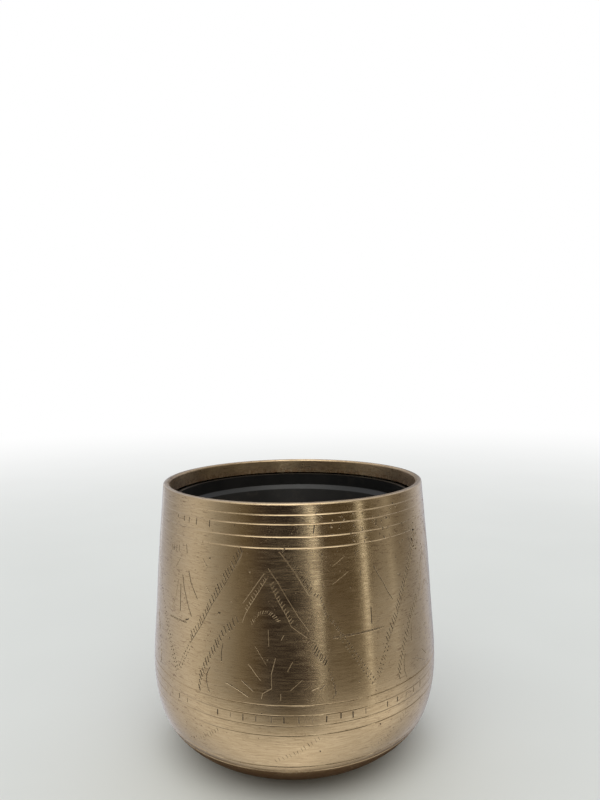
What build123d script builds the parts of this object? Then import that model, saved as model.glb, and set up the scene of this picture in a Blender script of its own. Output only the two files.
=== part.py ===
"""Brass planter pot with a lift-out plastic liner.

Millimetres, +Z up. The origin is on the pot's axis, at the level of the surface that it stands on.
"""

from build123d import *
import math
import os

os.makedirs("parts", exist_ok=True)

# Overall size of the brass pot
HEIGHT = 168.0
RIM_RADIUS = 82.4
BELLY_RADIUS = 90.1
BELLY_HEIGHT = 60.0
WALL = 2.0
RIM_ROUNDING = 1.2

# The foot: the shell is turned in to a flat flange, and a disc is brazed on top of that flange
PAD_HEIGHT = 1.2
FLANGE_OUTER_RADIUS = 52.0
FLANGE_INNER_RADIUS = 36.0
BASE_PLATE_RADIUS = 45.0
BASE_PLATE_THICKNESS = 2.0
BASE_PLATE_CHAMFER = 0.4
PAD_RADIUS = 6.0
PAD_RING_RADIUS = 43.0
PAD_COUNT = 4
PAD_START_ANGLE = 45

# Band inside the mouth
BAND_HEIGHT = 9.6
BAND_INNER_RADIUS = 78.6
BAND_LOWER_CHAMFER = 0.2

# Turned lines round the outside, as depths below the rim's shoulder, which is 1 mm below the top
SHOULDER_HEIGHT = HEIGHT - 1.0
NECK_LINES = (5.0, 9.8, 16.4, 22.3)
BELLY_LINES = (104.0, 109.2, 114.8, 120.2)
FOOT_LINES = (140.0, 144.0)
LINE_WIDTH = 0.8

# Liner: a plain grow pot that stands on the base plate and lifts out through the mouth
LINER_TOP = 157.6
LINER_RIM_RADIUS = 77.4
LINER_NECK_RADIUS = 74.4
LINER_BASE_RADIUS = 52.0
LINER_WALL = 1.4
LINER_COLLAR_HEIGHT = 11.0
LINER_FOOT_HEIGHT = 2.0
LINER_RIM_ROUNDING = 0.6
LINER_COLLAR_DRAFT = 0.4
LINER_RIM_BEAD = 1.2
LINER_RIM_BEAD_LOW = 0.6
LINER_FOOT_WALL = 2 * LINER_WALL
LINER_COLLAR_STEP = 2 * LINER_WALL
DRAIN_HOLE_RADIUS = 4.0
DRAIN_RING_RADIUS = 38.0
DRAIN_HOLE_COUNT = 8

flange_top = PAD_HEIGHT + WALL
floor_height = flange_top + BASE_PLATE_THICKNESS

# Outline of the outside, from the rim down: a nearly straight wall, the belly, then the bowl
WALL_OUTLINE = (
    (RIM_RADIUS, HEIGHT),
    (86.7, 115.0),
    (88.5, 85.0),
    (BELLY_RADIUS, BELLY_HEIGHT),
    (87.8, 36.0),
    (82.2, 22.0),
    (69.8, 10.1),
    (FLANGE_OUTER_RADIUS, PAD_HEIGHT),
)
RIM_DIRECTION = (0.075, -1.0)
FOOT_DIRECTION = (-1.0, -0.28)
INNER_OUTLINE_STEPS = 12


def inward(point, direction, distance):
    """The point that lies a distance inside the outline, square to its direction."""
    return (point.X + direction.Y * distance, point.Y - direction.X * distance)


def outline_radius(outline, height):
    """Radius of an outline at a height on its wall or bowl."""
    level = Axis((0, height, 0), (1, 0, 0))
    return max(point.X for point in outline.find_intersection_points(level))


# ---------------------------------------------------------------- brass shell
with BuildPart() as pot_body:
    with BuildSketch(Plane.XZ):
        with BuildLine():
            outer_outline = Spline(*WALL_OUTLINE, tangents=[RIM_DIRECTION, FOOT_DIRECTION])
            inner_points = [
                inward(outer_outline @ (step / INNER_OUTLINE_STEPS),
                       outer_outline % (step / INNER_OUTLINE_STEPS), WALL)
                for step in range(1, INNER_OUTLINE_STEPS)
            ]
            inner_outline = Spline(
                (RIM_RADIUS - WALL, HEIGHT),
                *inner_points,
                (FLANGE_OUTER_RADIUS, flange_top),
                tangents=[RIM_DIRECTION, FOOT_DIRECTION],
            )
            Polyline(
                (FLANGE_OUTER_RADIUS, PAD_HEIGHT),
                (FLANGE_INNER_RADIUS, PAD_HEIGHT),
                (FLANGE_INNER_RADIUS, flange_top),
                (FLANGE_OUTER_RADIUS, flange_top),
            )
            Line((RIM_RADIUS - WALL, HEIGHT), (RIM_RADIUS, HEIGHT))
        make_face()
    revolve(axis=Axis.Z)

    # Turned V-shaped lines: a square on its corner, half of it inside the wall
    with BuildSketch(Plane.XZ):
        for depth in NECK_LINES + BELLY_LINES + FOOT_LINES:
            line_height = SHOULDER_HEIGHT - depth
            with Locations((outline_radius(outer_outline, line_height), line_height)):
                Rectangle(LINE_WIDTH / math.sqrt(2), LINE_WIDTH / math.sqrt(2), rotation=45)
    revolve(axis=Axis.Z, mode=Mode.SUBTRACT)

    rim_edges = pot_body.edges().filter_by(GeomType.CIRCLE).group_by(Axis.Z)[-1]
    fillet(rim_edges.sort_by(SortBy.RADIUS)[-1], RIM_ROUNDING)
pot_body.part.label = "pot_body"

# ---------------------------------------------------------------- band inside the mouth
with BuildPart() as rim_band:
    with BuildSketch(Plane.XY.offset(HEIGHT - BAND_HEIGHT)):
        Circle(RIM_RADIUS - RIM_ROUNDING)
        Circle(BAND_INNER_RADIUS, mode=Mode.SUBTRACT)
    extrude(amount=BAND_HEIGHT)
    add(pot_body.part, mode=Mode.SUBTRACT)
    inner_edges = rim_band.edges().filter_by(GeomType.CIRCLE)
    fillet(inner_edges.group_by(Axis.Z)[-1].sort_by(SortBy.RADIUS)[0], RIM_ROUNDING)
    chamfer(inner_edges.group_by(Axis.Z)[0].sort_by(SortBy.RADIUS)[0], BAND_LOWER_CHAMFER)
rim_band.part.label = "rim_band"

# ---------------------------------------------------------------- base plate
with BuildPart() as base_plate:
    with BuildSketch(Plane.XY.offset(flange_top)):
        Circle(BASE_PLATE_RADIUS)
    extrude(amount=BASE_PLATE_THICKNESS)
    chamfer(base_plate.edges().group_by(Axis.Z)[-1], BASE_PLATE_CHAMFER)
base_plate.part.label = "base_plate"

# ---------------------------------------------------------------- felt pads under the flange
with BuildPart() as foot_pads:
    with BuildSketch():
        with PolarLocations(PAD_RING_RADIUS, PAD_COUNT, start_angle=PAD_START_ANGLE):
            Circle(PAD_RADIUS)
    extrude(amount=PAD_HEIGHT)
foot_pads.part.label = "foot_pads"

# ---------------------------------------------------------------- liner
liner_floor = floor_height + LINER_FOOT_HEIGHT
collar_bottom = LINER_TOP - LINER_COLLAR_HEIGHT
with BuildPart() as liner:
    with BuildSketch(Plane.XZ):
        with BuildLine():
            outside = FilletPolyline(
                (LINER_BASE_RADIUS - LINER_FOOT_WALL, floor_height),
                (LINER_BASE_RADIUS, floor_height),
                (LINER_NECK_RADIUS, collar_bottom),
                (LINER_RIM_RADIUS - LINER_COLLAR_DRAFT, collar_bottom),
                (LINER_RIM_RADIUS, LINER_TOP),
                radius=LINER_RIM_ROUNDING,
            )
            inside = FilletPolyline(
                (LINER_RIM_RADIUS - LINER_WALL - LINER_RIM_BEAD, LINER_TOP),
                (LINER_RIM_RADIUS - LINER_WALL - LINER_RIM_BEAD_LOW, collar_bottom + LINER_COLLAR_STEP),
                (LINER_NECK_RADIUS - LINER_WALL, collar_bottom),
                (LINER_BASE_RADIUS - LINER_WALL, liner_floor + LINER_WALL),
                (0, liner_floor + LINER_WALL),
                radius=LINER_RIM_ROUNDING,
            )
            Line(outside @ 1, inside @ 0)
            Polyline(
                inside @ 1,
                (0, liner_floor),
                (LINER_BASE_RADIUS - LINER_FOOT_WALL, liner_floor),
                outside @ 0,
            )
        make_face()
    revolve(axis=Axis.Z)

    # Drain holes: one ring near the wall and one hole in the middle
    with BuildSketch(Plane.XY.offset(liner_floor)):
        Circle(DRAIN_HOLE_RADIUS)
        with PolarLocations(DRAIN_RING_RADIUS, DRAIN_HOLE_COUNT):
            Circle(DRAIN_HOLE_RADIUS)
    extrude(amount=LINER_WALL, mode=Mode.SUBTRACT)
liner.part.label = "liner"

for piece in (pot_body, rim_band, base_plate, foot_pads, liner):
    export_step(piece.part, f"parts/{piece.part.label}.step")
    print(piece.part.label, len(piece.part.solids()), round(piece.part.volume), piece.part.is_valid)
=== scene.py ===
import math
import random

import bpy
import numpy as np
from mathutils import Matrix, Vector
from mathutils.bvhtree import BVHTree
from mathutils.geometry import delaunay_2d_cdt


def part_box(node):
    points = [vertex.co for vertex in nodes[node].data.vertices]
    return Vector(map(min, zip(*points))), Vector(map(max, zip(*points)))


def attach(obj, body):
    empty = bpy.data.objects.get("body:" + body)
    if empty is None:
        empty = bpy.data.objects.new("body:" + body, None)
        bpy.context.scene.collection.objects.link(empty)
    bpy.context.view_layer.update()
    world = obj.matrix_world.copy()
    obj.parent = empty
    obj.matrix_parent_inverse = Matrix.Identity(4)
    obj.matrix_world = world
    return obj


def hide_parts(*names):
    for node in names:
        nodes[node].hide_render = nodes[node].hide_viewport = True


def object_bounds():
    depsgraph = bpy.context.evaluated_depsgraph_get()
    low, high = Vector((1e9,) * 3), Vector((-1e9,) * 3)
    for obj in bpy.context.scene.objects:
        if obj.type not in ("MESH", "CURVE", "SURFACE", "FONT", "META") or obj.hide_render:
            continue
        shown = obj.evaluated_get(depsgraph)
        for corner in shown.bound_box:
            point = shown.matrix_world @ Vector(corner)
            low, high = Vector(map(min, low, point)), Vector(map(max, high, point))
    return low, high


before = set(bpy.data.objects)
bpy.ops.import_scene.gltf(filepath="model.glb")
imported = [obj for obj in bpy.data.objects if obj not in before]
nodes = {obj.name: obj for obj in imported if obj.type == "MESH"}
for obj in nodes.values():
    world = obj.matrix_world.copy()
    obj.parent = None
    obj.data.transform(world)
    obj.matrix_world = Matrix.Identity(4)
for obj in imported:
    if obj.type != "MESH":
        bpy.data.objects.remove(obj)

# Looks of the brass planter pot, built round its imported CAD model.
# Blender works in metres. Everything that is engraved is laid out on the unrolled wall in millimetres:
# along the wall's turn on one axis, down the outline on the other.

MM = 0.001

cad_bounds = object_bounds()
shell_low, shell_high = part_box("pot_body")
band_low, band_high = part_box("rim_band")
plate_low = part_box("base_plate")[0]
pot_top = shell_high.z / MM
pot_foot = shell_low.z / MM
rng = random.Random(7)


# ------------------------------------------------------------------ outline of the CAD shell

WALL_HEIGHTS = (150.0, 130.0, 110.0, 92.0, 76.0, 60.0, 44.0, 33.0, 24.5, 18.0, 12.0, 7.0, 3.6)
RIM_ROUNDING = 1.2
OUTLINE_STEPS = 400
END_INSET = 0.05  # rays are cast this far inside the wall's two ends
RAY_TURN = 7
RAY_START = 0.3  # in metres, well outside the pot


def skin_radius(tree, height, from_outside):
    """Radius of the shell's outer or inner skin at a height, in mm.

    A ray may meet a facet's middle, which lies inside the true circle, so the largest radius is taken.
    """
    radii = []
    for turn in range(0, 360, RAY_TURN):
        way = Vector((math.cos(math.radians(turn)), math.sin(math.radians(turn)), 0))
        start = way * (RAY_START if from_outside else 0.0) + Vector((0, 0, height * MM))
        hit = tree.ray_cast(start, -way if from_outside else way)[0]
        if hit is not None:
            radii.append(math.hypot(hit.x, hit.y) / MM)
    return max(radii)


def natural_spline(knots, values, at):
    """Cubic spline through the values, with no bend at its two ends."""
    gaps = np.diff(knots)
    count = len(knots)
    system = np.eye(count)
    right = np.zeros((count, values.shape[1]))
    for i in range(1, count - 1):
        system[i, i - 1:i + 2] = gaps[i - 1], 2 * (gaps[i - 1] + gaps[i]), gaps[i]
        right[i] = 6 * ((values[i + 1] - values[i]) / gaps[i] - (values[i] - values[i - 1]) / gaps[i - 1])
    bend = np.linalg.solve(system, right)
    span = np.clip(np.searchsorted(knots, at) - 1, 0, count - 2)
    gap = gaps[span][:, None]
    before = (knots[span + 1] - at)[:, None]
    after = (at - knots[span])[:, None]
    return (bend[span] * before ** 3 + bend[span + 1] * after ** 3) / (6 * gap) \
        + (values[span] / gap - bend[span] * gap / 6) * before \
        + (values[span + 1] / gap - bend[span + 1] * gap / 6) * after


def smooth_outline(points):
    """The (radius, height) points joined by a smooth curve: its length so far, and its points."""
    points = np.array(points)
    chord = np.concatenate([[0], np.cumsum(np.linalg.norm(np.diff(points, axis=0), axis=1))])
    fine = natural_spline(chord, points, np.linspace(0, chord[-1], OUTLINE_STEPS))
    length = np.concatenate([[0], np.cumsum(np.linalg.norm(np.diff(fine, axis=0), axis=1))])
    return length, fine


shell_tree = BVHTree.FromObject(nodes["pot_body"], bpy.context.evaluated_depsgraph_get())
wall_top = pot_top - RIM_ROUNDING
outer_knots = [(skin_radius(shell_tree, h, True), h) for h in (wall_top - END_INSET,) + WALL_HEIGHTS]
outer_knots.append((skin_radius(shell_tree, pot_foot + END_INSET, True), pot_foot))
outer_length, outer_outline = smooth_outline(outer_knots)
WALL_LENGTH = outer_length[-1]
UNROLL_RADIUS = outer_outline[:, 0].max()
wall_turn = UNROLL_RADIUS * math.radians(1.0)


def down_wall(height):
    """Distance down the outline of a height on the outside."""
    return float(np.interp(-height, -outer_outline[:, 1], outer_length))


# ------------------------------------------------------------------ engraving on the unrolled wall

PANEL_COUNT = 5
FRONT_PANEL_CENTRE = -8.3
FRONT_PANEL_TURN = 76.6
OTHER_PANEL_TURN = (360.0 - FRONT_PANEL_TURN) / (PANEL_COUNT - 1)
SEAM = FRONT_PANEL_CENTRE + FRONT_PANEL_TURN / 2 + 2 * OTHER_PANEL_TURN
SEAM_VALLEY = 2  # the seam runs between this panel and the next one, counted round from the front
SEAM_MARGIN = 0.8
PATTERN_TOP = 143.0

# The way the hatching leans on the left and on the right of a panel, in degrees
UP_LEFT = 118
UP_RIGHT = 54
TILT_JITTER = 7
SPACING_JITTER = 0.15

SHOULDER = pot_top - 1.0
NECK_LINES = (5.0, 9.8, 16.4, 22.3)
BELLY_LINES = (104.0, 109.2, 114.8, 120.2)
FOOT_LINES = (140.0, 144.0)

grooves = []


class Groove:
    """A V-shaped cut: its middle line on the unrolled wall, half its width, and its depth, all in mm."""

    def __init__(self, line, half_width, depth):
        self.line = np.array(line)
        self.half_width = half_width
        self.depth = depth

    def outline(self):
        """The cut's edge: a tip at each end, and the two sides between."""
        step = np.diff(self.line, axis=0)
        step /= np.linalg.norm(step, axis=1)[:, None]
        at_point = np.vstack([step[:1], (step[:-1] + step[1:]) / 2, step[-1:]])
        at_point /= np.linalg.norm(at_point, axis=1)[:, None]
        side = np.stack([-at_point[:, 1], at_point[:, 0]], axis=1) * self.half_width
        first_tip = self.line[0] - step[0] * self.half_width
        last_tip = self.line[-1] + step[-1] * self.half_width
        return np.vstack([first_tip, self.line + side, last_tip, (self.line - side)[::-1]])

    def reach(self, points):
        """How deep the cut is at each point, and how far each point is from the cut's middle line."""
        nearest = np.full(len(points), np.inf)
        for start, end in zip(self.line[:-1], self.line[1:]):
            run = end - start
            share = np.clip(((points - start) @ run) / (run @ run), 0, 1)
            nearest = np.minimum(nearest, np.linalg.norm(points - start - share[:, None] * run, axis=1))
        return self.depth * np.clip(1 - nearest / self.half_width, 0, 1), nearest


def on_wall(angle, height):
    """A place on the unrolled wall, from its angle in degrees and its height in mm."""
    return np.array([(angle - SEAM + 360.0) * wall_turn, down_wall(height)])


def cut(places, half_width, depth):
    """Cuts a groove through places given as (angle, height), unless it would cross the seam."""
    angles = [place[0] for place in places]
    if min(angles) < SEAM - 360 + SEAM_MARGIN or max(angles) > SEAM - SEAM_MARGIN:
        return
    line = [on_wall(*place) for place in places]
    grooves.append(Groove(line, half_width * rng.uniform(0.85, 1.15), depth * rng.uniform(0.75, 1.2)))


def along(places, spacing):
    """Points every so many mm along a path of (angle, height) places, each a little off."""
    flat = np.array([(angle * wall_turn, height) for angle, height in places])
    lengths = np.concatenate([[0], np.cumsum(np.linalg.norm(np.diff(flat, axis=0), axis=1))])
    at = spacing / 2
    while at < lengths[-1]:
        here = at + rng.uniform(-SPACING_JITTER, SPACING_JITTER) * spacing
        yield np.array([np.interp(here, lengths, flat[:, i]) for i in (0, 1)])
        at += spacing


def hatch(places, tilt, length=3.6, spacing=2.4, offset=0.2, half_width=0.33, depth=0.27):
    """A row of short cuts along a path. Each starts beside the path and points at the tilt, in degrees."""
    for point in along(places, spacing):
        angle = math.radians(tilt + rng.uniform(-TILT_JITTER, TILT_JITTER))
        way = np.array([math.cos(angle), math.sin(angle)])
        first = point + way * (offset + rng.uniform(-0.1, 0.1) * length)
        last = first + way * length * rng.uniform(0.8, 1.15)
        cut([(first[0] / wall_turn, first[1]), (last[0] / wall_turn, last[1])], half_width, depth)


def putter(centre, turn):
    """A function that puts places, drawn round the front panel's middle, where another panel is."""
    scale = turn / FRONT_PANEL_TURN
    return lambda places: [(centre + angle * scale, height) for angle, height in places]


def wander(places, amount):
    """The same places, each a little off, as a hand would cut them."""
    return [(a + rng.uniform(-amount, amount), h + rng.uniform(-amount, amount)) for a, h in places]


def engrave_zigzag(put):
    """The hatched line that runs up to the neck and down again on both sides of a panel."""
    left = put([(-9.4, PATTERN_TOP), (-15.0, 127.7), (-18.4, 119.7), (-22.1, 111), (-26.3, 99.7),
                (-31.7, 88.3)])
    right = put([(4.1, PATTERN_TOP), (9.2, 132.3), (14.1, 120.3)])
    right_low = put([(14.6, 122.0), (18.3, 118.3), (20.0, 109.7), (23.3, 103.7), (25.4, 98.3)])
    left_end = put([(-31.7, 88.3), (-37.8, 72)])
    right_end = put([(25.4, 98.3), (31.2, 85), (38.0, 69)])
    cut(wander(left, 0.15), 0.19, 0.15)
    cut(wander(right, 0.15), 0.18, 0.12)
    hatch(left, UP_LEFT)
    hatch(right, UP_RIGHT, length=2.0, spacing=2.0, offset=1.0)
    hatch(right_low, UP_RIGHT, length=1.5, spacing=1.9, offset=-0.7, half_width=0.28, depth=0.2)
    for end, tilt in ((left_end, UP_LEFT), (right_end, UP_RIGHT)):
        hatch(end, tilt, length=0.8, spacing=2.2)
        hatch(end, tilt, length=0.7, spacing=2.3, offset=-2.0)


def engrave_inner_triangle(put):
    """The smaller triangle inside a panel: a ladder at its top, then hatched legs that curve in."""
    left_outer = put([(-1.3, 131.7), (-9.0, 115.7)])
    left_inner = put([(-0.4, 129), (-5.4, 117), (-8.0, 110.3), (-9.4, 105)])
    left_leg = put([(-10.9, 107), (-13.8, 102.3), (-17.1, 97.7), (-19.2, 92.3), (-22.1, 85), (-24.6, 78.3),
                    (-26.3, 71), (-26.7, 66)])
    right_outer = put([(0.0, 134.3), (3.3, 127), (6.6, 119), (10.4, 109), (13.9, 101.7)])
    right_inner = put([(0.6, 126.3), (2.9, 118.3), (6.2, 109.7), (7.9, 104.3), (12.9, 98.3)])
    right_leg = put([(15.5, 93.5), (19.6, 84.5)])
    right_leg_end = put([(20.2, 82), (22.4, 72), (22.9, 67)])
    for line in (left_outer, left_inner, right_outer, right_inner):
        cut(wander(line, 0.12), 0.14, 0.09)
    hatch(left_inner[:3], UP_LEFT + 10, length=1.8, spacing=1.8, half_width=0.19, depth=0.12)
    hatch(left_leg, UP_LEFT - 4, length=3.7, spacing=2.5, offset=-1.8)
    hatch(right_inner[:4], UP_RIGHT - 4, length=2.0, spacing=1.9, offset=0.4, half_width=0.17, depth=0.09)
    hatch(right_leg, UP_RIGHT + 10, length=3.5, spacing=1.7, offset=-1.8)
    hatch(right_leg_end, UP_RIGHT + 10, length=1.8, spacing=2.6, offset=-0.9, half_width=0.25, depth=0.16)
    curves = (
        [(-16.9, 92.3), (-17.5, 87.7), (-17.3, 83)],
        [(-22.1, 78.3), (-23.4, 74.3), (-23.4, 69.7), (-22.1, 65)],
        [(22.5, 70.3), (22.9, 67.7), (21.6, 65.6)],
        [(19.0, 73), (17.2, 70.6)],
        [(-9.4, 74.7), (-5.4, 70)],
        [(-15.4, 72.3), (-10.9, 69.7), (-7.1, 66.7)],
    )
    for stroke in curves:
        cut(put(stroke), 0.26, 0.2)


ARCH_SPACING = 1.3
ARCH_TURN = 7  # each stroke of the arch leans this much further to the right than the one before it
SPRIG_WANDER = 0.15


def engrave_sprig(put):
    """Inside the smaller triangle: an arch of fine cuts over a fan of long ones."""
    arch = put([(-6.3, 105), (-4.6, 108.4), (-3.0, 111), (-0.4, 111.7), (1.6, 110.3), (4.1, 106.3)])
    for number, point in enumerate(along(arch, ARCH_SPACING)):
        angle = math.radians(UP_LEFT - ARCH_TURN * number)
        way = np.array([math.cos(angle), math.sin(angle)]) * rng.uniform(0.7, 1.1)
        ends = [((point + way * reach) / (wall_turn, 1)) for reach in (-1, 1)]
        cut([tuple(end) for end in ends], 0.15, 0.09)
    fan = (
        [(0.0, 102.3), (0.1, 93.7)],
        [(5.4, 99.7), (4.6, 97)],
        [(-4.6, 93), (-2.6, 88), (-0.9, 84)],
        [(2.5, 87.7), (1.0, 79), (1.0, 71.7), (-2.1, 69), (-2.5, 66.3)],
        [(8.3, 85.7), (6.4, 81)],
        [(-7.1, 83.7), (-2.9, 75.7)],
        [(11.2, 76.3), (7.6, 71)],
        [(4.1, 69), (4.1, 65.9)],
        [(17.1, 72), (14.6, 70.7)],
    )
    for stroke in fan:
        cut(wander(put(stroke), SPRIG_WANDER), 0.13, 0.075)


# Marks over the valleys between two panels, in two sorts that alternate: (places, half width, depth)
TALL_MARKS = (
    ([(-0.1, 118.3), (-0.2, 103)], 0.36, 0.28),
    ([(4.6, 127), (6.7, 120.3), (10.2, 113)], 0.30, 0.25),
    ([(0.9, 123.7), (2.5, 116.3), (5.0, 108.3), (7.3, 102.3)], 0.26, 0.2),
    ([(-1.9, 120), (-3.4, 111), (-6.2, 102.3)], 0.2, 0.13),
    ([(12.5, 135.7), (15.0, 131.7)], 0.26, 0.22),
    ([(2.5, 141), (3.2, 136.3)], 0.24, 0.2),
    ([(-2.5, 139.7), (-2.6, 136.3)], 0.24, 0.2),
    ([(-1.6, 132.3), (-4.5, 127)], 0.2, 0.15),
    ([(15.0, 121), (16.6, 118.3)], 0.22, 0.18),
    ([(-8.4, 138.4), (-8.2, 135)], 0.22, 0.22),
    ([(-6.6, 138.8), (-6.9, 135.3)], 0.22, 0.22),
    ([(-8.9, 137), (-6.2, 136.6)], 0.2, 0.2),
    ([(-4.9, 138.6), (-4.8, 135.8)], 0.2, 0.2),
    ([(3.6, 99.2), (5.6, 100.6)], 0.38, 0.3),
)
TALL_ROW = [(-8.0, 97.6), (4.4, 98.2)]
SHORT_MARKS = (
    ([(-0.8, 109.7), (-0.7, 101)], 0.34, 0.27),
    ([(1.2, 131.7), (2.9, 127), (5.0, 121.7), (7.1, 115.7), (9.6, 111)], 0.27, 0.22),
    ([(-15.4, 134.3), (-10.4, 139)], 0.11, 0.03),
    ([(-15.4, 125), (-9.2, 131)], 0.11, 0.03),
    ([(12.5, 123.7), (15, 122.3)], 0.2, 0.15),
    ([(-6.6, 141.3), (-6.0, 138.6)], 0.24, 0.2),
    ([(-4.4, 130.2), (-4.9, 127.6)], 0.2, 0.16),
)
SHORT_ROW = [(-16.0, 97.2), (4.6, 97.6)]
DOT_TILT = 75
MARK_WANDER = 0.15


def engrave_between(put, marks, row):
    """Over the valley between two panels: an upright cut, curved ones beside it and a row of dots below."""
    for places, half_width, depth in marks:
        cut(wander(put(places), MARK_WANDER), half_width, depth)
    hatch(put(row), DOT_TILT, length=0.9, spacing=0.95, offset=-0.45, half_width=0.3, depth=0.2)


BOWL_ARC_COUNT = 10
BOWL_ARC_START = -26.5
BOWL_ARC = ((0.0, 44.6), (-4.5, 39.5), (-10.0, 34.2), (-17.0, 29.6))


def engrave_bowl():
    """Arcs of short cuts that run down the bowl from the belly lines, except one over the seam."""
    for number in range(BOWL_ARC_COUNT):
        top = BOWL_ARC_START + 360.0 / BOWL_ARC_COUNT * number
        arc = [((top + angle - SEAM) % 360.0 + SEAM - 360.0, height) for angle, height in BOWL_ARC]
        if max(place[0] for place in arc) - min(place[0] for place in arc) < 90:
            hatch(arc, UP_LEFT, length=2.0, spacing=2.3, half_width=0.2, depth=0.10)


# Ticks are bold in two stretches of the pot, round one angle and opposite it, and faint between them
TICK_DEPTH = 0.28
BOLD_ANGLE = 18
BOLD_CHANCE = 0.5
BOLD_SWING = 0.4


def engrave_ticks(depth_top, depth_bottom, turn, keep, half_width):
    """Upright ticks between two turned lines, all the way round, of which a share is kept."""
    angle = SEAM - 360 + turn
    while angle < SEAM - turn / 2:
        if rng.random() < keep:
            here = angle + rng.uniform(-0.3, 0.3)
            top = SHOULDER - depth_top - rng.uniform(0.8, 1.4)
            bottom = SHOULDER - depth_bottom + rng.uniform(1.2, 2.2)
            chance = BOLD_CHANCE + BOLD_SWING * math.cos(math.radians(2 * (here - BOLD_ANGLE)))
            share = rng.uniform(0.85, 1.1) if rng.random() < chance else rng.uniform(0.4, 0.6)
            places = [(here, top), (here + rng.uniform(-0.15, 0.15), bottom)]
            cut(places, half_width * share, TICK_DEPTH * share)
        angle += turn


# Nicks that hang from the second neck line
NECK_NICKS = (
    [(-51.0, 156.4), (-51.2, 154.4)],
    [(-46.6, 156.6), (-46.5, 153.8)],
    [(-43.3, 156.6), (-43.4, 153.6)],
    [(-39.0, 156.7), (-39.2, 153.2)],
    [(-32.3, 156.8), (-32.4, 153.4)],
    [(33.6, 156.2), (33.2, 153.0)],
    [(8.4, 156.4), (8.0, 152.6)],
)
# Deep chips: (angle, height, size)
CHIPS = (
    (56.3, 144.0, 1.0), (57.6, 141.4, 0.8), (54.2, 138.7, 1.1), (55.0, 135.0, 0.9), (57.1, 133.0, 0.8),
    (58.8, 135.7, 0.6), (62.5, 134.0, 0.6), (57.1, 119.7, 0.8), (65.0, 127.0, 0.6), (-26.7, 108.3, 0.7),
    (43.0, 162.5, 0.8), (44.5, 161.0, 0.6), (41.5, 160.2, 0.5), (9.2, 162.6, 0.5), (11.0, 160.6, 0.4),
    (74.0, 157.0, 1.0), (75.5, 153.0, 0.8), (76.0, 148.5, 1.0), (73.0, 144.5, 0.7), (77.0, 140.0, 0.9),
    (-131.0, 138.0, 0.9), (-128.0, 133.0, 0.7), (-126.5, 140.0, 0.5), (140.0, 88.0, 0.8), (136.5, 93.0, 0.6),
    (-95.0, 84.0, 0.7), (118.0, 150.0, 0.8), (-160.0, 152.0, 0.7),
)
CHIP_CUTS = 3
# Clusters of pits: (angle, spread, height, spread in height, count)
PIT_CLUSTERS = (
    (58, 7, 141, 9, 50), (25, 9, 153, 5, 36), (46, 10, 149, 7, 40), (64, 8, 100, 20, 40),
    (-120, 20, 120, 25, 30), (140, 25, 90, 30, 30),
    (-60, 60, 100, 35, 35), (60, 60, 100, 35, 35), (180, 60, 100, 35, 35),
)
PIT_LOWEST = 30
PIT_HIGHEST = PATTERN_TOP + 20


def chip(angle, height, size):
    """A ragged pit of a few short wide cuts."""
    for _ in range(CHIP_CUTS):
        here = angle + rng.uniform(-0.5, 0.5) * size
        level = height + rng.uniform(-0.7, 0.7) * size
        way = rng.uniform(0, math.pi)
        reach = rng.uniform(0.3, 0.8) * size
        cut([(here, level), (here + reach * math.cos(way) / wall_turn, level + reach * math.sin(way))],
            0.55 * size, 0.5 * size)


def scatter_pits(centre, spread, height, tall, count):
    """Small casting pits, thickest round one place on the wall."""
    for _ in range(count):
        angle = rng.gauss(centre, spread)
        level = rng.gauss(height, tall)
        if level < PIT_LOWEST or level > PIT_HIGHEST:
            continue
        length = rng.uniform(0.1, 0.9)
        slope = rng.uniform(-1.0, 1.0)
        cut([(angle, level), (angle + length * slope / wall_turn, level - length * (1.2 - abs(slope)))],
            rng.uniform(0.2, 0.45), rng.uniform(0.15, 0.35))


def engrave_everything():
    """Every cut on the wall, panel by panel from the front one round."""
    centre = FRONT_PANEL_CENTRE
    turns = [FRONT_PANEL_TURN] + [OTHER_PANEL_TURN] * (PANEL_COUNT - 1)
    for number, turn in enumerate(turns):
        if number:
            centre += (turns[number - 1] + turn) / 2
        place = centre if centre + turn / 2 <= SEAM + 1 else centre - 360.0
        for engrave in (engrave_zigzag, engrave_inner_triangle, engrave_sprig):
            engrave(putter(place, turn))
        if number != SEAM_VALLEY:
            kind = (SHORT_MARKS, SHORT_ROW) if number % 3 == 0 else (TALL_MARKS, TALL_ROW)
            engrave_between(putter(place + turn / 2, turn), *kind)
    engrave_ticks(NECK_LINES[1], NECK_LINES[2] - 2.6, 4.4, 0.55, 0.2)
    engrave_ticks(BELLY_LINES[1], BELLY_LINES[2], 4.75, 0.95, 0.36)
    engrave_bowl()
    for places in NECK_NICKS:
        cut(places, 0.3, 0.3)
    for angle, height, size in CHIPS:
        chip(angle, height, size)
    for cluster in PIT_CLUSTERS:
        scatter_pits(*cluster)


# ------------------------------------------------------------------ turned lines and the wall's own shape

RING_HALF_WIDTH = 0.36
RING_DEPTH = 0.28
RING_SHARES = (0.75, 0.95, 1.0, 1.0, 0.65, 0.35, 0.40, 0.55, 0.85, 0.85)
RING_GRIME = 0.22  # a turned line is cleaner than a cut of the same depth
LEAST_DEPTH = 0.004
TURN_STEPS = 240
ROW_STEP = 3.4
RING_CLEARANCE = 0.5  # between a turned line's edge and the plain grid's points
CUT_CLEARANCE = 0.45
SEAM_EDGE = 0.1  # the grid's points this near the seam always stay
WAVES = (  # waves round the pot, waves down it, height in mm, phase
    (2, 0.4, 0.10, 0.3),
    (3, 1.1, 0.05, 1.9),
    (5, 2.3, 0.030, 4.0),
    (7, 3.1, 0.022, 0.8),
    (11, 4.7, 0.012, 2.6),
    (16, 7.9, 0.007, 5.1),
)
WAVE_RATE = 6
WAVE_FADE = 12.0


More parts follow.
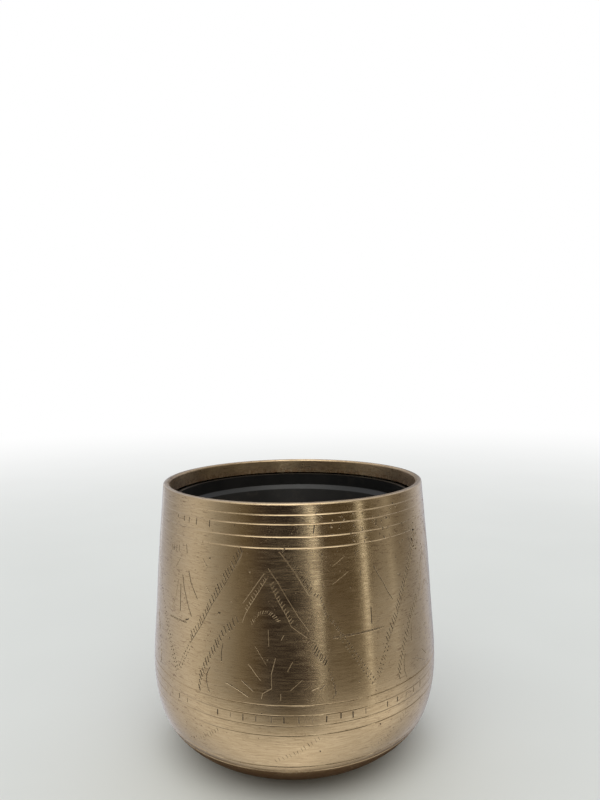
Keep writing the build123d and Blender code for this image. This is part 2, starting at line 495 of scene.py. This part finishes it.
def ring_middle(level, angles):
    """Where a turned line runs, with the slight wander of a hand-held tool; it closes on itself."""
    return down_wall(level) + 0.09 * np.sin(2 * angles + level) + 0.05 * np.sin(5 * angles + 2.3 * level)


def ring_depth(number, angles):
    """A turned line is cut deeper in some stretches than in others."""
    swing = np.sin(angles + 1.7 * number) + 0.6 * np.sin(3 * angles + 0.9 * number) \
        + 0.5 * np.sin(17 * angles + number) * np.sin(5 * angles + 2 * number)
    worn = 0.75 + 0.25 * np.cos(2 * angles) if number < len(NECK_LINES) else 1.15 - 0.25 * np.cos(2 * angles)
    return RING_DEPTH * RING_SHARES[number] * worn * (0.75 + 0.18 * swing)


def dents(angles, downs):
    """Shallow waves left by the forming, which vanish at the wall's two ends."""
    height = np.zeros_like(angles)
    for round_waves, down_waves, size, phase in WAVES:
        down = np.cos(down_waves * downs / WALL_LENGTH * WAVE_RATE + phase)
        height += size * np.sin(round_waves * angles + phase) * down
    return height * np.clip(np.minimum(downs, WALL_LENGTH - downs) / WAVE_FADE, 0, 1)


def wall_points(angles, downs, depths):
    """Places in space, in mm, of unrolled places sunk to a depth."""
    radius = np.interp(downs, outer_length, outer_outline[:, 0])
    height = np.interp(downs, outer_length, outer_outline[:, 1])
    slope = np.gradient(outer_outline, outer_length, axis=0)
    along_radius = np.interp(downs, outer_length, slope[:, 0])
    along_height = np.interp(downs, outer_length, slope[:, 1])
    out = dents(angles, downs) - depths
    radius = radius - along_height * out
    height = height + along_radius * out
    return np.stack([radius * np.sin(angles), -radius * np.cos(angles), height], axis=1)


def wall_normals(angles, downs):
    """Outward directions of the wall without its cuts."""
    nothing = np.zeros_like(angles)
    small = 0.25
    across = wall_points(angles + small / UNROLL_RADIUS, downs, nothing) \
        - wall_points(angles - small / UNROLL_RADIUS, downs, nothing)
    up = wall_points(angles, np.maximum(downs - small, 0), nothing) \
        - wall_points(angles, np.minimum(downs + small, WALL_LENGTH), nothing)
    normal = np.cross(across, up)
    return normal / np.linalg.norm(normal, axis=1)[:, None]


def angle_of(across):
    """The angle, in radians, of a distance along the unrolled wall."""
    return across / UNROLL_RADIUS + math.radians(SEAM - 360.0)


def wall_layout():
    """Points and fixed edges of the unrolled wall: border, turned lines, cuts and a grid between."""
    width = 2 * math.pi * UNROLL_RADIUS
    columns = np.linspace(0, width, TURN_STEPS + 1)
    levels = [SHOULDER - depth for depth in NECK_LINES + BELLY_LINES + FOOT_LINES]
    points, edges = [], []

    def add_line(line, closed=False):
        first = len(points)
        points.extend(tuple(p) for p in line)
        edges.extend((first + i, first + i + 1) for i in range(len(line) - 1))
        if closed:
            edges.append((len(points) - 1, first))

    for down in (0.0, WALL_LENGTH):
        add_line([(x, down) for x in columns])
    for level in levels:
        middle = ring_middle(level, angle_of(columns))
        for shift in (-RING_HALF_WIDTH, 0, RING_HALF_WIDTH):
            add_line(list(zip(columns, middle + shift)))
    for groove in grooves:
        add_line(groove.outline(), closed=True)
        add_line(groove.line)

    rows = np.linspace(0, WALL_LENGTH, round(WALL_LENGTH / ROW_STEP) + 1)[1:-1]
    grid = np.array([(x, y) for y in rows for x in columns])
    free = np.ones(len(grid), bool)
    for level in levels:
        away = np.abs(grid[:, 1] - ring_middle(level, angle_of(grid[:, 0])))
        free &= away > RING_HALF_WIDTH + RING_CLEARANCE
    inner = (grid[:, 0] > SEAM_EDGE) & (grid[:, 0] < width - SEAM_EDGE)
    for groove in grooves:
        low = groove.line.min(0) - groove.half_width - CUT_CLEARANCE
        high = groove.line.max(0) + groove.half_width + CUT_CLEARANCE
        near = np.where(inner & free & (grid > low).all(1) & (grid < high).all(1))[0]
        if len(near):
            free[near] = groove.reach(grid[near])[1] > groove.half_width + CUT_CLEARANCE
    points.extend(tuple(p) for p in grid[free])
    return points, edges, levels, width


def depth_everywhere(flat, levels):
    """Depth of the deepest cut at each place of the unrolled wall, and how much grime it holds."""
    depth = np.zeros(len(flat))
    angles = angle_of(flat[:, 0])
    for number, level in enumerate(levels):
        away = np.abs(flat[:, 1] - ring_middle(level, angles)) / RING_HALF_WIDTH
        depth = np.maximum(depth, ring_depth(number, angles) * np.clip(1 - away, 0, 1))
    grime = depth * RING_GRIME
    order = np.argsort(flat[:, 0])
    sorted_across = flat[order, 0]
    for groove in grooves:
        low = groove.line.min(0) - groove.half_width
        high = groove.line.max(0) + groove.half_width
        near = order[np.searchsorted(sorted_across, low[0]):np.searchsorted(sorted_across, high[0])]
        near = near[(flat[near, 1] > low[1]) & (flat[near, 1] < high[1])]
        if len(near):
            reach = groove.reach(flat[near])[0]
            depth[near] = np.maximum(depth[near], reach)
            grime[near] = np.maximum(grime[near], reach)
    depth[depth < LEAST_DEPTH] = 0.0
    return depth, grime / RING_DEPTH


RIM_STEPS = 6
INSIDE_HIGHEST = pot_top - 0.1
INSIDE_LOWEST = 4.4
INSIDE_STRIDE = 12


def back_outline():
    """The shell's other side, from the rim's rounding over the top, down the inside and round the flange."""
    arc = []
    top_radius = outer_outline[0, 0]
    for step in range(1, RIM_STEPS + 1):
        turn = math.radians(90 * step / RIM_STEPS)
        radius = top_radius - RIM_ROUNDING * (1 - math.cos(turn))
        arc.append((radius, wall_top + RIM_ROUNDING * math.sin(turn)))
    heights = (INSIDE_HIGHEST,) + WALL_HEIGHTS[:-1] + (INSIDE_LOWEST,)
    inside = [(skin_radius(shell_tree, h, False), h) for h in heights]
    inside_curve = smooth_outline(inside)[1][::INSIDE_STRIDE]
    inside_curve[0, 1] = pot_top
    plate_bottom = plate_low.z / MM
    flange_edge = min(math.hypot(v.co.x, v.co.y) for v in nodes["pot_body"].data.vertices) / MM
    flange = [
        (outer_outline[-1, 0], plate_bottom),
        (flange_edge, plate_bottom),
        (flange_edge, pot_foot),
    ]
    return arc + [tuple(p) for p in inside_curve] + flange


BORDER = 1e-4  # a point this near the unrolled wall's border lies on it


def build_shell():
    """The engraved shell as one closed mesh, shaded as the smooth wall where nothing is cut."""
    points, edges, levels, width = wall_layout()
    flat, _, faces, *_ = delaunay_2d_cdt([Vector(p) for p in points], edges, [], 0, 1e-5, False)
    flat = np.array(flat)
    faces = np.array(faces)
    depth, grime = depth_everywhere(flat, levels)
    angles = angle_of(flat[:, 0])
    places = wall_points(angles, flat[:, 1], depth)
    normals = wall_normals(angles, flat[:, 1])

    # the seam: a point on the right border is the point beside it on the left border
    left = {round(y, 3): i for i, (x, y) in enumerate(flat) if x < BORDER}
    same = np.arange(len(flat))
    for i in np.where(flat[:, 0] > width - BORDER)[0]:
        same[i] = left[round(flat[i, 1], 3)]
    faces = same[faces]

    # the other side is turned from its outline, on the same columns
    top = [i for i in np.where(flat[:, 1] < BORDER)[0] if same[i] == i]
    foot = [i for i in np.where(flat[:, 1] > WALL_LENGTH - BORDER)[0] if same[i] == i]
    top.sort(key=lambda i: flat[i, 0])
    foot.sort(key=lambda i: flat[i, 0])
    column_angles = angles[top]
    rings = [top]
    back = []
    for radius, height in back_outline():
        first = len(places) + len(back) * len(top)
        back.append(np.stack([radius * np.sin(column_angles), -radius * np.cos(column_angles),
                              np.full(len(top), height)], axis=1))
        rings.append(list(range(first, first + len(top))))
    rings.append(foot)
    places = np.vstack([places] + back)
    quads = []
    for upper, lower in zip(rings[:-1], rings[1:]):
        for i in range(len(top)):
            j = (i + 1) % len(top)
            quads.append((upper[i], upper[j], lower[j], lower[i]))

    mesh = bpy.data.meshes.new("engraved_shell")
    triangles = [(int(a), int(c), int(b)) for a, b, c in faces if len({a, b, c}) == 3]
    mesh.from_pydata(places * MM, [], triangles + [tuple(int(i) for i in q) for q in quads])
    mesh.update()
    cut_face = np.array([depth[list(t)].max() > 0 for t in triangles])
    shade_shell(mesh, triangles, cut_face, normals)
    groove = mesh.attributes.new("groove", "FLOAT", "POINT")
    filled = np.zeros(len(places), np.float32)
    filled[:len(grime)] = grime
    groove.data.foreach_set("value", filled)
    return mesh


def shade_shell(mesh, triangles, cut_face, normals):
    """Corners on the plain wall point as the smooth wall does, and corners of a cut as their facet does."""
    mesh.polygons.foreach_set("use_smooth", [True] * len(mesh.polygons))
    own = [None] * len(mesh.loops)
    for number, polygon in enumerate(mesh.polygons):
        for loop in polygon.loop_indices:
            vertex = mesh.loops[loop].vertex_index
            if number < len(triangles) and not cut_face[number]:
                own[loop] = Vector(normals[vertex])
            elif number < len(triangles):
                own[loop] = polygon.normal
            else:
                own[loop] = turned_normal(polygon, mesh.vertices[vertex].co)
    mesh.normals_split_custom_set(own)


def turned_normal(polygon, place):
    """A turned facet's direction, carried round to one of its corners."""
    across = math.hypot(polygon.normal.x, polygon.normal.y)
    middle = polygon.center
    if middle.x * polygon.normal.x + middle.y * polygon.normal.y < 0:
        across = -across
    reach = math.hypot(place.x, place.y)
    return Vector((place.x / reach * across, place.y / reach * across, polygon.normal.z))


PAD_STEPS = 48
PAD_PROFILE = (  # shares of a pad's radius and thickness, from underneath to the top
    (0.35, 0.0), (0.65, 0.0), (0.86, 0.0), (0.95, 0.02), (0.985, 0.14), (1.0, 0.38), (1.0, 0.72),
    (0.99, 0.90), (0.97, 1.0), (0.65, 1.0), (0.35, 1.0),
)
PAD_HOLLOW = 0.05
PAD_UNEVEN = 0.02


def build_pads():
    """Felt discs where the CAD pads are, with worn edges, a little out of round and a little hollow below."""
    low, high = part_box("foot_pads")
    corners = [vertex.co for vertex in nodes["foot_pads"].data.vertices]
    points = []
    faces = []
    for side_x, side_y in ((1, 1), (-1, 1), (-1, -1), (1, -1)):
        own = [corner for corner in corners if corner.x * side_x > 0 and corner.y * side_y > 0]
        middle = [(min(c[i] for c in own) + max(c[i] for c in own)) / 2 for i in (0, 1)]
        radius = (max(c.x for c in own) - min(c.x for c in own)) / 2
        phase = rng.uniform(0, 2 * math.pi)
        start = len(points)
        points.append((middle[0], middle[1], low.z))
        for reach, level in PAD_PROFILE:
            for step in range(PAD_STEPS):
                turn = 2 * math.pi * step / PAD_STEPS
                uneven = 0.5 + 0.5 * math.sin(3 * turn + phase) * math.cos(5 * turn + 2 * phase)
                out = radius * reach * (1 - PAD_UNEVEN * uneven)
                lift = PAD_HOLLOW * MM * uneven * (1 - level) * reach
                height = low.z + (high.z - low.z) * level + lift
                points.append((middle[0] + out * math.cos(turn), middle[1] + out * math.sin(turn), height))
        points.append((middle[0], middle[1], high.z))
        for ring in range(len(PAD_PROFILE) - 1):
            first = start + 1 + ring * PAD_STEPS
            for step in range(PAD_STEPS):
                beside = (step + 1) % PAD_STEPS
                above = first + PAD_STEPS
                faces.append((first + step, first + beside, above + beside, above + step))
        last = len(points) - 1
        for step in range(PAD_STEPS):
            beside = (step + 1) % PAD_STEPS
            faces.append((start, start + 1 + beside, start + 1 + step))
            faces.append((last, last - PAD_STEPS + step, last - PAD_STEPS + beside))
    mesh = bpy.data.meshes.new("felt_pads")
    mesh.from_pydata(points, [], faces)
    mesh.polygons.foreach_set("use_smooth", [True] * len(mesh.polygons))
    mesh.update()
    return mesh


def add_piece(mesh, material, body, replaced):
    """Puts a mesh in the scene as a piece that rides on a body, in place of CAD nodes."""
    piece = bpy.data.objects.new(mesh.name, mesh)
    bpy.context.scene.collection.objects.link(piece)
    mesh.materials.clear()
    mesh.materials.append(material)
    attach(piece, body)
    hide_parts(*replaced)


engrave_everything()


# ------------------------------------------------------------------ materials

class Graph:
    """Adds nodes to a node tree. An input given as a socket is linked, and any other value is set."""

    def __init__(self, tree):
        self.tree = tree
        tree.nodes.clear()

    def make(self, kind, inputs, **settings):
        """A node with its settings and its inputs, by name or number."""
        node = self.tree.nodes.new("ShaderNode" + kind)
        for name, value in settings.items():
            setattr(node, name, value)
        for name, value in inputs.items():
            if isinstance(value, bpy.types.NodeSocket):
                self.tree.links.new(value, node.inputs[name])
            else:
                node.inputs[name].default_value = value
        return node

    def node(self, kind, inputs, output=0, **settings):
        """One output of a new node."""
        return self.make(kind, inputs, **settings).outputs[output]

    def math(self, operation, *values, clamp=False):
        """One step of arithmetic."""
        return self.node("Math", dict(enumerate(values)), operation=operation, use_clamp=clamp)

    def times(self, first, second):
        """Two values multiplied."""
        return self.math("MULTIPLY", first, second)

    def blend(self, factor, first, second, way="MIX"):
        """Mixes two colours."""
        return self.node("Mix", {0: factor, 6: first, 7: second}, 2, data_type="RGBA", blend_type=way)

    def remap(self, value, low, high, to_low=0.0, to_high=1.0):
        """Takes a value smoothly from one range to another, and keeps it inside."""
        inputs = {"Value": value, "From Min": low, "From Max": high, "To Min": to_low, "To Max": to_high}
        return self.node("MapRange", inputs, interpolation_type="SMOOTHSTEP", clamp=True)

    def place(self, scale=(1, 1, 1)):
        """The object's own coordinates, in metres, scaled."""
        where = self.node("TexCoord", {}, "Object")
        return self.node("Mapping", {"Vector": where, "Scale": scale})

    def noise(self, scale, detail=2.0, roughness=0.5, where=None, distortion=0.0):
        """Noise, with its number of lumps in a metre."""
        inputs = {"Vector": where or self.place(), "Scale": scale, "Detail": detail}
        return self.node("TexNoise", inputs | {"Roughness": roughness, "Distortion": distortion})

    def bump(self, height, distance, strength, normal=None):
        """A bump of a height in metres, on top of another."""
        inputs = {"Height": height, "Distance": distance, "Strength": strength}
        return self.node("Bump", inputs | ({"Normal": normal} if normal else {}))


def make_material(name, paint):
    """A material whose shader is made by a function."""
    material = bpy.data.materials.new(name)
    material.use_nodes = True
    graph = Graph(material.node_tree)
    graph.make("OutputMaterial", {"Surface": paint(graph)})
    return material


BRASS = (0.61, 0.465, 0.292, 1)
DULL_BRASS = (0.47, 0.335, 0.190, 1)
TARNISH = (0.17, 0.085, 0.045, 1)
GRIME = (0.030, 0.018, 0.010, 1)
BAND_DARKENING = (0.17, 0.070, 0.030, 1)
DARKENING_START = 0.0035  # metres below the band's top, from where it grows darker downwards
HANDLED_FROM, HANDLED_TO = 0.015, 0.07  # metres to either side of the pot's middle


def turned_brass(graph, groove=None, wear=0.5, roughness=0.19):
    """Spun brass: fine lines round it, stray scratches and small dark spots.

    With a groove, its cuts hold grime. Without one, it has brown blots and grows darker towards the bottom of
    the mouth's band.
    """
    fine_lines = graph.noise(1.0, 3.0, 0.65, graph.place((60, 60, 2300)))
    lines = graph.noise(1.0, 3.0, 0.6, graph.place((110, 110, 1500)), distortion=0.3)
    scratches = graph.noise(1.0, 2.0, 0.6, graph.place((200, 200, 1000)), distortion=1.2)
    clouds = graph.noise(30, 5.0, 0.62, distortion=0.6)
    grain = graph.noise(1500, 2.0, 0.6)
    spots = graph.noise(620, 2.0, 0.6)
    patches = graph.noise(60, 4.0, 0.6, distortion=0.8)

    # the sides, where hands hold the pot, are more scratched and spotted than the front and the back
    across = graph.math("ABSOLUTE", graph.node("SeparateXYZ", {"Vector": graph.place()}))
    side = graph.remap(across, HANDLED_FROM, HANDLED_TO)
    handled = graph.times(side, graph.remap(patches, 0.35, 0.6, 0.3, 1.0))
    handled = graph.math("MAXIMUM", handled, wear - 0.5)

    colour = graph.blend(graph.remap(lines, 0.36, 0.64, 0.0, 0.44), BRASS, DULL_BRASS)
    colour = graph.blend(graph.remap(clouds, 0.45, 0.75, 0.0, 0.6 * wear), colour, DULL_BRASS)
    spotted = graph.math("ADD", spots, graph.times(handled, 0.03))
    spot = graph.remap(spotted, 0.685, 0.75)
    spot = graph.times(spot, graph.remap(clouds, 0.42, 0.62, 0.1, 1.0))
    colour = graph.blend(graph.times(spot, 0.9), colour, TARNISH)
    scratch = graph.remap(scratches, 0.56, 0.68)
    seen = graph.times(scratch, graph.remap(handled, 0.0, 1.0, 0.20, 0.60))
    colour = graph.blend(seen, colour, TARNISH)
    rough = graph.math("ADD", graph.remap(lines, 0.3, 0.7, roughness - 0.04, roughness + 0.05),
                       graph.remap(clouds, 0.4, 0.7, 0.0, 0.10 * wear))
    rough = graph.math("ADD", rough, graph.times(spot, 0.2))
    metal = graph.math("SUBTRACT", 1.0, graph.times(spot, 0.3))
    if groove:
        dirt = graph.remap(groove, 0.06, 0.46)
        dirt = graph.times(dirt, graph.remap(grain, 0.35, 0.6, 0.75, 1.0))
        colour = graph.blend(dirt, colour, GRIME)
        rough = graph.math("ADD", rough, graph.times(dirt, 0.35))
        metal = graph.math("SUBTRACT", metal, graph.times(dirt, 0.7), clamp=True)
    else:
        # brown blots, faint at the top of the mouth's band and stronger towards its bottom
        height = graph.node("SeparateXYZ", {"Vector": graph.place()}, 2)
        low = graph.remap(height, band_high.z - DARKENING_START, band_low.z, 0.15, 0.65)
        blots = graph.remap(graph.noise(330, 3.0, 0.6, distortion=0.7), 0.42, 0.60)
        darkening = graph.times(graph.math("MAXIMUM", blots, graph.remap(patches, 0.45, 0.7)), low)
        colour = graph.blend(darkening, colour, BAND_DARKENING)
        rough = graph.math("ADD", rough, graph.times(darkening, 0.15))
    normal = graph.bump(fine_lines, 0.00003, 0.4)
    normal = graph.bump(lines, 0.00004, 0.5, normal)
    normal = graph.bump(scratches, 0.00006, 0.35, normal)
    normal = graph.bump(grain, 0.000005, 0.3, normal)
    normal = graph.bump(graph.math("SUBTRACT", 0.0, spot), 0.00006, 0.3, normal)
    return graph.node("BsdfPrincipled", {
        "Base Color": colour,
        "Metallic": metal,
        "Roughness": rough,
        "Normal": normal,
        "Anisotropic": 0.75,
        "Anisotropic Rotation": 0.25,
        "Tangent": graph.node("Tangent", {}, direction_type="RADIAL", axis="Z"),
    })


def engraved_brass(graph):
    """Brass with grime in its cuts."""
    groove = graph.node("Attribute", {}, "Fac", attribute_name="groove")
    return turned_brass(graph, groove)


def worn_brass(graph):
    """The mouth's band: brown blots, and darker towards its bottom."""
    return turned_brass(graph, wear=1.0, roughness=0.30)


def moulded_plastic(graph):
    """Black moulded plastic: a fine spark-eroded grain, flow marks, and dust in a few places."""
    grain = graph.noise(2600, 2.0, 0.6)
    flow = graph.noise(34, 3.0, 0.5, graph.place((1, 1, 0.35)))
    dust = graph.noise(90, 6.0, 0.72, distortion=0.8)
    speck = graph.noise(900, 2.0, 0.5)
    dusty = graph.times(graph.remap(dust, 0.5, 0.78), graph.remap(speck, 0.45, 0.7, 0.25, 1.0))
    colour = graph.blend(graph.remap(flow, 0.3, 0.7), (0.010, 0.010, 0.010, 1), (0.017, 0.016, 0.015, 1))
    colour = graph.blend(graph.times(dusty, 0.5), colour, (0.085, 0.066, 0.048, 1))
    rough = graph.math("ADD", graph.remap(flow, 0.3, 0.7, 0.36, 0.46), graph.times(dusty, 0.3))
    normal = graph.bump(grain, 0.00003, 0.5)
    normal = graph.bump(flow, 0.0003, 0.2, normal)
    return graph.node("BsdfPrincipled", {
        "Base Color": colour, "Roughness": rough, "Normal": normal, "IOR": 1.49,
    })


def pressed_felt(graph):
    """Dark felt: matted fibres that lie every way."""
    fibres = graph.noise(1700, 4.0, 0.7, graph.place((1, 0.35, 1)), distortion=3.0)
    crossing = graph.noise(1500, 4.0, 0.7, graph.place((0.35, 1, 1)), distortion=3.0)
    tufts = graph.noise(260, 3.0, 0.6)
    mat = graph.math("MAXIMUM", fibres, crossing)
    colour = graph.blend(graph.remap(mat, 0.4, 0.75), (0.012, 0.010, 0.009, 1), (0.060, 0.052, 0.045, 1))
    colour = graph.blend(graph.remap(tufts, 0.4, 0.7, 0.0, 0.5), colour, (0.030, 0.025, 0.022, 1))
    normal = graph.bump(mat, 0.0003, 0.7)
    return graph.node("BsdfPrincipled", {
        "Base Color": colour, "Roughness": 0.95, "Normal": normal,
        "Sheen Weight": 0.4, "Sheen Roughness": 0.5,
    })


def pale_floor(graph):
    """A plain pale surface, which turns into the white backdrop further from the pot."""
    tone = graph.remap(graph.noise(6, 2.0), 0.3, 0.7)
    colour = graph.blend(tone, (0.70, 0.715, 0.685, 1), (0.715, 0.73, 0.70, 1))
    near = graph.node("BsdfPrincipled", {"Base Color": colour, "Roughness": 0.85})
    backdrop = graph.node("Emission", {"Color": (1, 1, 1, 1), "Strength": 1.0})
    away = graph.node("VectorMath", {0: graph.place()}, 1, operation="LENGTH")
    return graph.node("MixShader", {0: graph.remap(away, *FLOOR_FADE), 1: near, 2: backdrop})


def dark_card(graph):
    """The shade under the pot, warm from the brass."""
    tone = graph.remap(graph.noise(9, 2.0), 0.3, 0.7)
    colour = graph.blend(tone, (0.10, 0.062, 0.034, 1), (0.12, 0.072, 0.040, 1))
    return graph.node("BsdfPrincipled", {"Base Color": colour, "Roughness": 0.9})


def dress(node_name, material):
    """Gives a CAD node a new material."""
    for slot in nodes[node_name].material_slots:
        slot.material = material


# ------------------------------------------------------------------ pieces

brass_outside = make_material("brass_outside_detailed", engraved_brass)
brass_worn = make_material("brass_band_detailed", worn_brass)
add_piece(build_shell(), brass_outside, "pot", ["pot_body"])
add_piece(build_pads(), make_material("felt_detailed", pressed_felt), "pot", ["foot_pads"])
dress("rim_band", brass_worn)
dress("base_plate", brass_worn)
dress("liner", make_material("liner_plastic_detailed", moulded_plastic))


# ------------------------------------------------------------------ studio

CAMERA_PLACE = (5.5 * MM, -422.3 * MM, 240.3 * MM)
CAMERA_DOWN = 3.01
CAMERA_ROLL = -0.74
CAMERA_LENS = 29.44
CAMERA_SENSOR = 36.0
CAMERA_NEAR = 0.01

# The studio as the brass mirrors it: how bright it is at angles round from the camera, to the right.
# The photographer's side is dark, and the room to the left is brighter than the room to the right.
UPPER_LIGHT = (
    (-180, 0.20), (-162, 0.60), (-145, 0.52), (-121, 0.46), (-104, 0.60), (-90, 0.72), (-79, 0.66),
    (-66, 0.44), (-53, 0.26), (-40, 0.14), (-27, 0.05), (-18, 0.02), (0, 0.015), (12, 0.05), (30, 0.09),
    (46, 0.09), (54, 0.11), (66, 0.14), (76, 0.27), (100, 0.22), (112, 0.30), (126, 0.52), (140, 0.68),
    (158, 0.55), (180, 0.20),
)
MIDDLE_LIGHT = (
    (-180, 0.22), (-162, 0.62), (-145, 0.60), (-121, 0.60), (-90, 0.77), (-79, 0.74), (-66, 0.48),
    (-53, 0.33), (-40, 0.19), (-27, 0.09), (-18, 0.025), (2, 0.015), (12, 0.05), (30, 0.11), (46, 0.11),
    (56, 0.20), (68, 0.44), (90, 0.44), (112, 0.38), (126, 0.45), (140, 0.58), (158, 0.45), (180, 0.22),
)
BELLY_LIGHT = (
    (-180, 0.25), (-158, 0.65), (-130, 0.60), (-95, 0.76), (-78, 0.88), (-55, 0.82), (-37, 0.58),
    (-20, 0.34), (-2, 0.22), (15, 0.34), (32, 0.84), (48, 0.84), (64, 0.98), (80, 1.06), (104, 0.66),
    (140, 0.60), (180, 0.25),
)
BOWL_LIGHT = (
    (-180, 0.35), (-130, 0.48), (-100, 0.60), (-60, 0.84), (-20, 0.90), (12, 1.05), (45, 0.80), (80, 0.66),
    (110, 0.46), (150, 0.50), (180, 0.35),
)
OVERHEAD_LIGHT = (
    (-180, 1.2), (-120, 0.75), (-70, 0.85), (-35, 2.3), (30, 2.4), (65, 0.9), (110, 0.7), (150, 0.9),
    (180, 1.2),
)
# The rises, in degrees, between which one of these gives way to the next
UPPER_TO_MIDDLE = (-9, -17)
MIDDLE_TO_BELLY = (-20, -31)
BELLY_TO_BOWL = (-33, -47)
UPPER_TO_OVERHEAD = (20, 50)
# Tints of the light by its brightness: dark parts of the room are red, then yellow, then neutral
TINTS = ((0.02, 1.0, 0.60, 0.50), (0.10, 1.0, 0.78, 0.40), (0.35, 1.0, 1.0, 0.97))
# The backdrop behind the pot, which its edges mirror, is cooler: its tint, the angle to either side at which
# it sets in, and the turn over which it does
BACKDROP_TINT = (1.0, 1.04, 1.22)
BACKDROP_ANGLE = 80
BACKDROP_TURN = 70

# Upright strip lights: middle, reach to the left and right, brightness, the rises between which they fade in,
# and how far they lean to the right for each degree lower
STRIP_LIGHTS = (
    (18.5, 4.0, 2.2, 2.10, -24, -7, 0.5),
    (18.0, 14.0, 4.0, 0.26, -14, -4, 0.5),
    (58.5, 3.4, 2.6, 1.45, -30, -8, 0.25),
    (85.0, 5.0, 7.0, 0.20, -26, -10, 0.2),
    (-178.0, 9.0, 6.0, 0.85, -30, -8, 0.3),
    (-152.0, 5.0, 4.0, 0.30, -30, -8, 0.3),
)
STRIP_TINT = (1.0, 1.04, 1.0)
STRIP_LEVEL = -9.0  # the rise at which a strip's middle is stated

FLOOR_SIZE = 6.0
FLOOR_DROP = 0.0004  # metres below the lowest point of the pot, so that nothing touches
# How far from the pot, in metres, the floor begins to turn white and is all white
FLOOR_FADE = (0.22, 2.2)
SHADE_CARD_SIZE = 0.94  # share of the pot's largest radius
SHADE_CARD_DROP = 0.0002
SHADE_CARD_SIDES = 96


def light_round(graph, turn, stops):
    """Light round the pot, as a ramp over the turn from 0 to 1: warm where dark, cool at the back."""
    socket = graph.node("ValToRGB", {"Fac": turn})
    ramp = socket.node.color_ramp
    ramp.interpolation = "LINEAR"
    while len(ramp.elements) < len(stops):
        ramp.elements.new(0.5)
    levels, *channels = zip(*TINTS)
    for element, (angle, brightness) in zip(ramp.elements, stops):
        cool = min(1.0, max(0.0, (abs(angle) - BACKDROP_ANGLE) / BACKDROP_TURN))
        tint = [np.interp(brightness, levels, channel) * (1 + cool * (far - 1))
                for channel, far in zip(channels, BACKDROP_TINT)]
        element.position = angle / 360 + 0.5
        element.color = [brightness * part for part in tint] + [1]
    return socket


def add_strips(graph, light, turn, rise):
    """Adds the upright strip lights, with soft edges."""
    for middle, left, right, brightness, low, high, lean in STRIP_LIGHTS:
        centre = middle / 360 + 0.5
        drift = graph.times(graph.math("SUBTRACT", rise, STRIP_LEVEL), lean / 360)
        at = graph.math("ADD", turn, drift)
        from_left = graph.remap(at, centre - left / 360, centre)
        from_right = graph.remap(at, centre + right / 360, centre)
        share = graph.times(from_left, from_right)
        share = graph.times(share, graph.remap(rise, low, high))
        strip = [brightness * part for part in STRIP_TINT] + [1]
        light = graph.blend(share, light, strip, "ADD")
    return light


def build_world():
    """Soft light from all round: the camera sees a plain white backdrop, the brass sees the studio."""
    world = bpy.data.worlds.new("studio")
    bpy.context.scene.world = world
    world.use_nodes = True
    graph = Graph(world.node_tree)
    way = graph.node("TexCoord", {}, "Generated")
    parts = graph.node("SeparateXYZ", {"Vector": way}).node.outputs
    away = graph.times(parts["Y"], -1.0)
    turn = graph.math("ADD", graph.math("DIVIDE", graph.math("ARCTAN2", parts["X"], away), 2 * math.pi), 0.5)
    rise = graph.math("DIVIDE", graph.math("ARCSINE", parts["Z"]), math.pi / 180)
    light = light_round(graph, turn, UPPER_LIGHT)
    light = graph.blend(graph.remap(rise, *UPPER_TO_MIDDLE), light, light_round(graph, turn, MIDDLE_LIGHT))
    light = graph.blend(graph.remap(rise, *MIDDLE_TO_BELLY), light, light_round(graph, turn, BELLY_LIGHT))
    light = add_strips(graph, light, turn, rise)
    light = graph.blend(graph.remap(rise, *BELLY_TO_BOWL), light, light_round(graph, turn, BOWL_LIGHT))
    overhead = light_round(graph, turn, OVERHEAD_LIGHT)
    light = graph.blend(graph.remap(rise, *UPPER_TO_OVERHEAD), light, overhead)
    seen = graph.node("LightPath", {}, "Is Camera Ray")
    colour = graph.blend(seen, light, (1, 1, 1, 1))
    graph.make("OutputWorld", {"Surface": graph.node("Background", {"Color": colour, "Strength": 1.0})})


def add_stage_piece(name, corners, height, material):
    """A flat piece of floor."""
    mesh = bpy.data.meshes.new(name)
    mesh.from_pydata([(x, y, 0) for x, y in corners], [], [range(len(corners))])
    mesh.materials.append(material)
    piece = bpy.data.objects.new(name, mesh)
    bpy.context.scene.collection.objects.link(piece)
    piece.location.z = height
    return piece


def build_floor():
    """The floor. In reflections a dark card, which stands for the pot's own shade, takes its place."""
    pot_bottom = cad_bounds[0].z
    square = [(x * FLOOR_SIZE, y * FLOOR_SIZE) for x, y in ((-1, -1), (1, -1), (1, 1), (-1, 1))]
    floor = add_stage_piece("floor", square, pot_bottom - FLOOR_DROP, make_material("floor_pale", pale_floor))
    floor.visible_glossy = False
    floor.visible_shadow = False
    turns = [2 * math.pi * step / SHADE_CARD_SIDES for step in range(SHADE_CARD_SIDES)]
    reach = UNROLL_RADIUS * MM * SHADE_CARD_SIZE
    circle = [(reach * math.cos(turn), reach * math.sin(turn)) for turn in turns]
    shade = make_material("shade_card", dark_card)
    card = add_stage_piece("shade_card", circle, pot_bottom - SHADE_CARD_DROP, shade)
    card.visible_camera = False
    card.visible_diffuse = False
    card.visible_shadow = False


def build_camera():
    """The camera, at the photograph's angle."""
    data = bpy.data.cameras.new("camera")
    data.lens = CAMERA_LENS
    data.sensor_width = CAMERA_SENSOR
    data.clip_start = CAMERA_NEAR
    camera = bpy.data.objects.new("camera", data)
    pitch = Matrix.Rotation(math.radians(90 - CAMERA_DOWN), 4, "X")
    roll = Matrix.Rotation(math.radians(CAMERA_ROLL), 4, "Z")
    camera.matrix_world = Matrix.Translation(CAMERA_PLACE) @ pitch @ roll
    bpy.context.scene.collection.objects.link(camera)
    bpy.context.scene.camera = camera


build_world()
build_floor()
build_camera()
bpy.context.scene.view_settings.view_transform = "Standard"
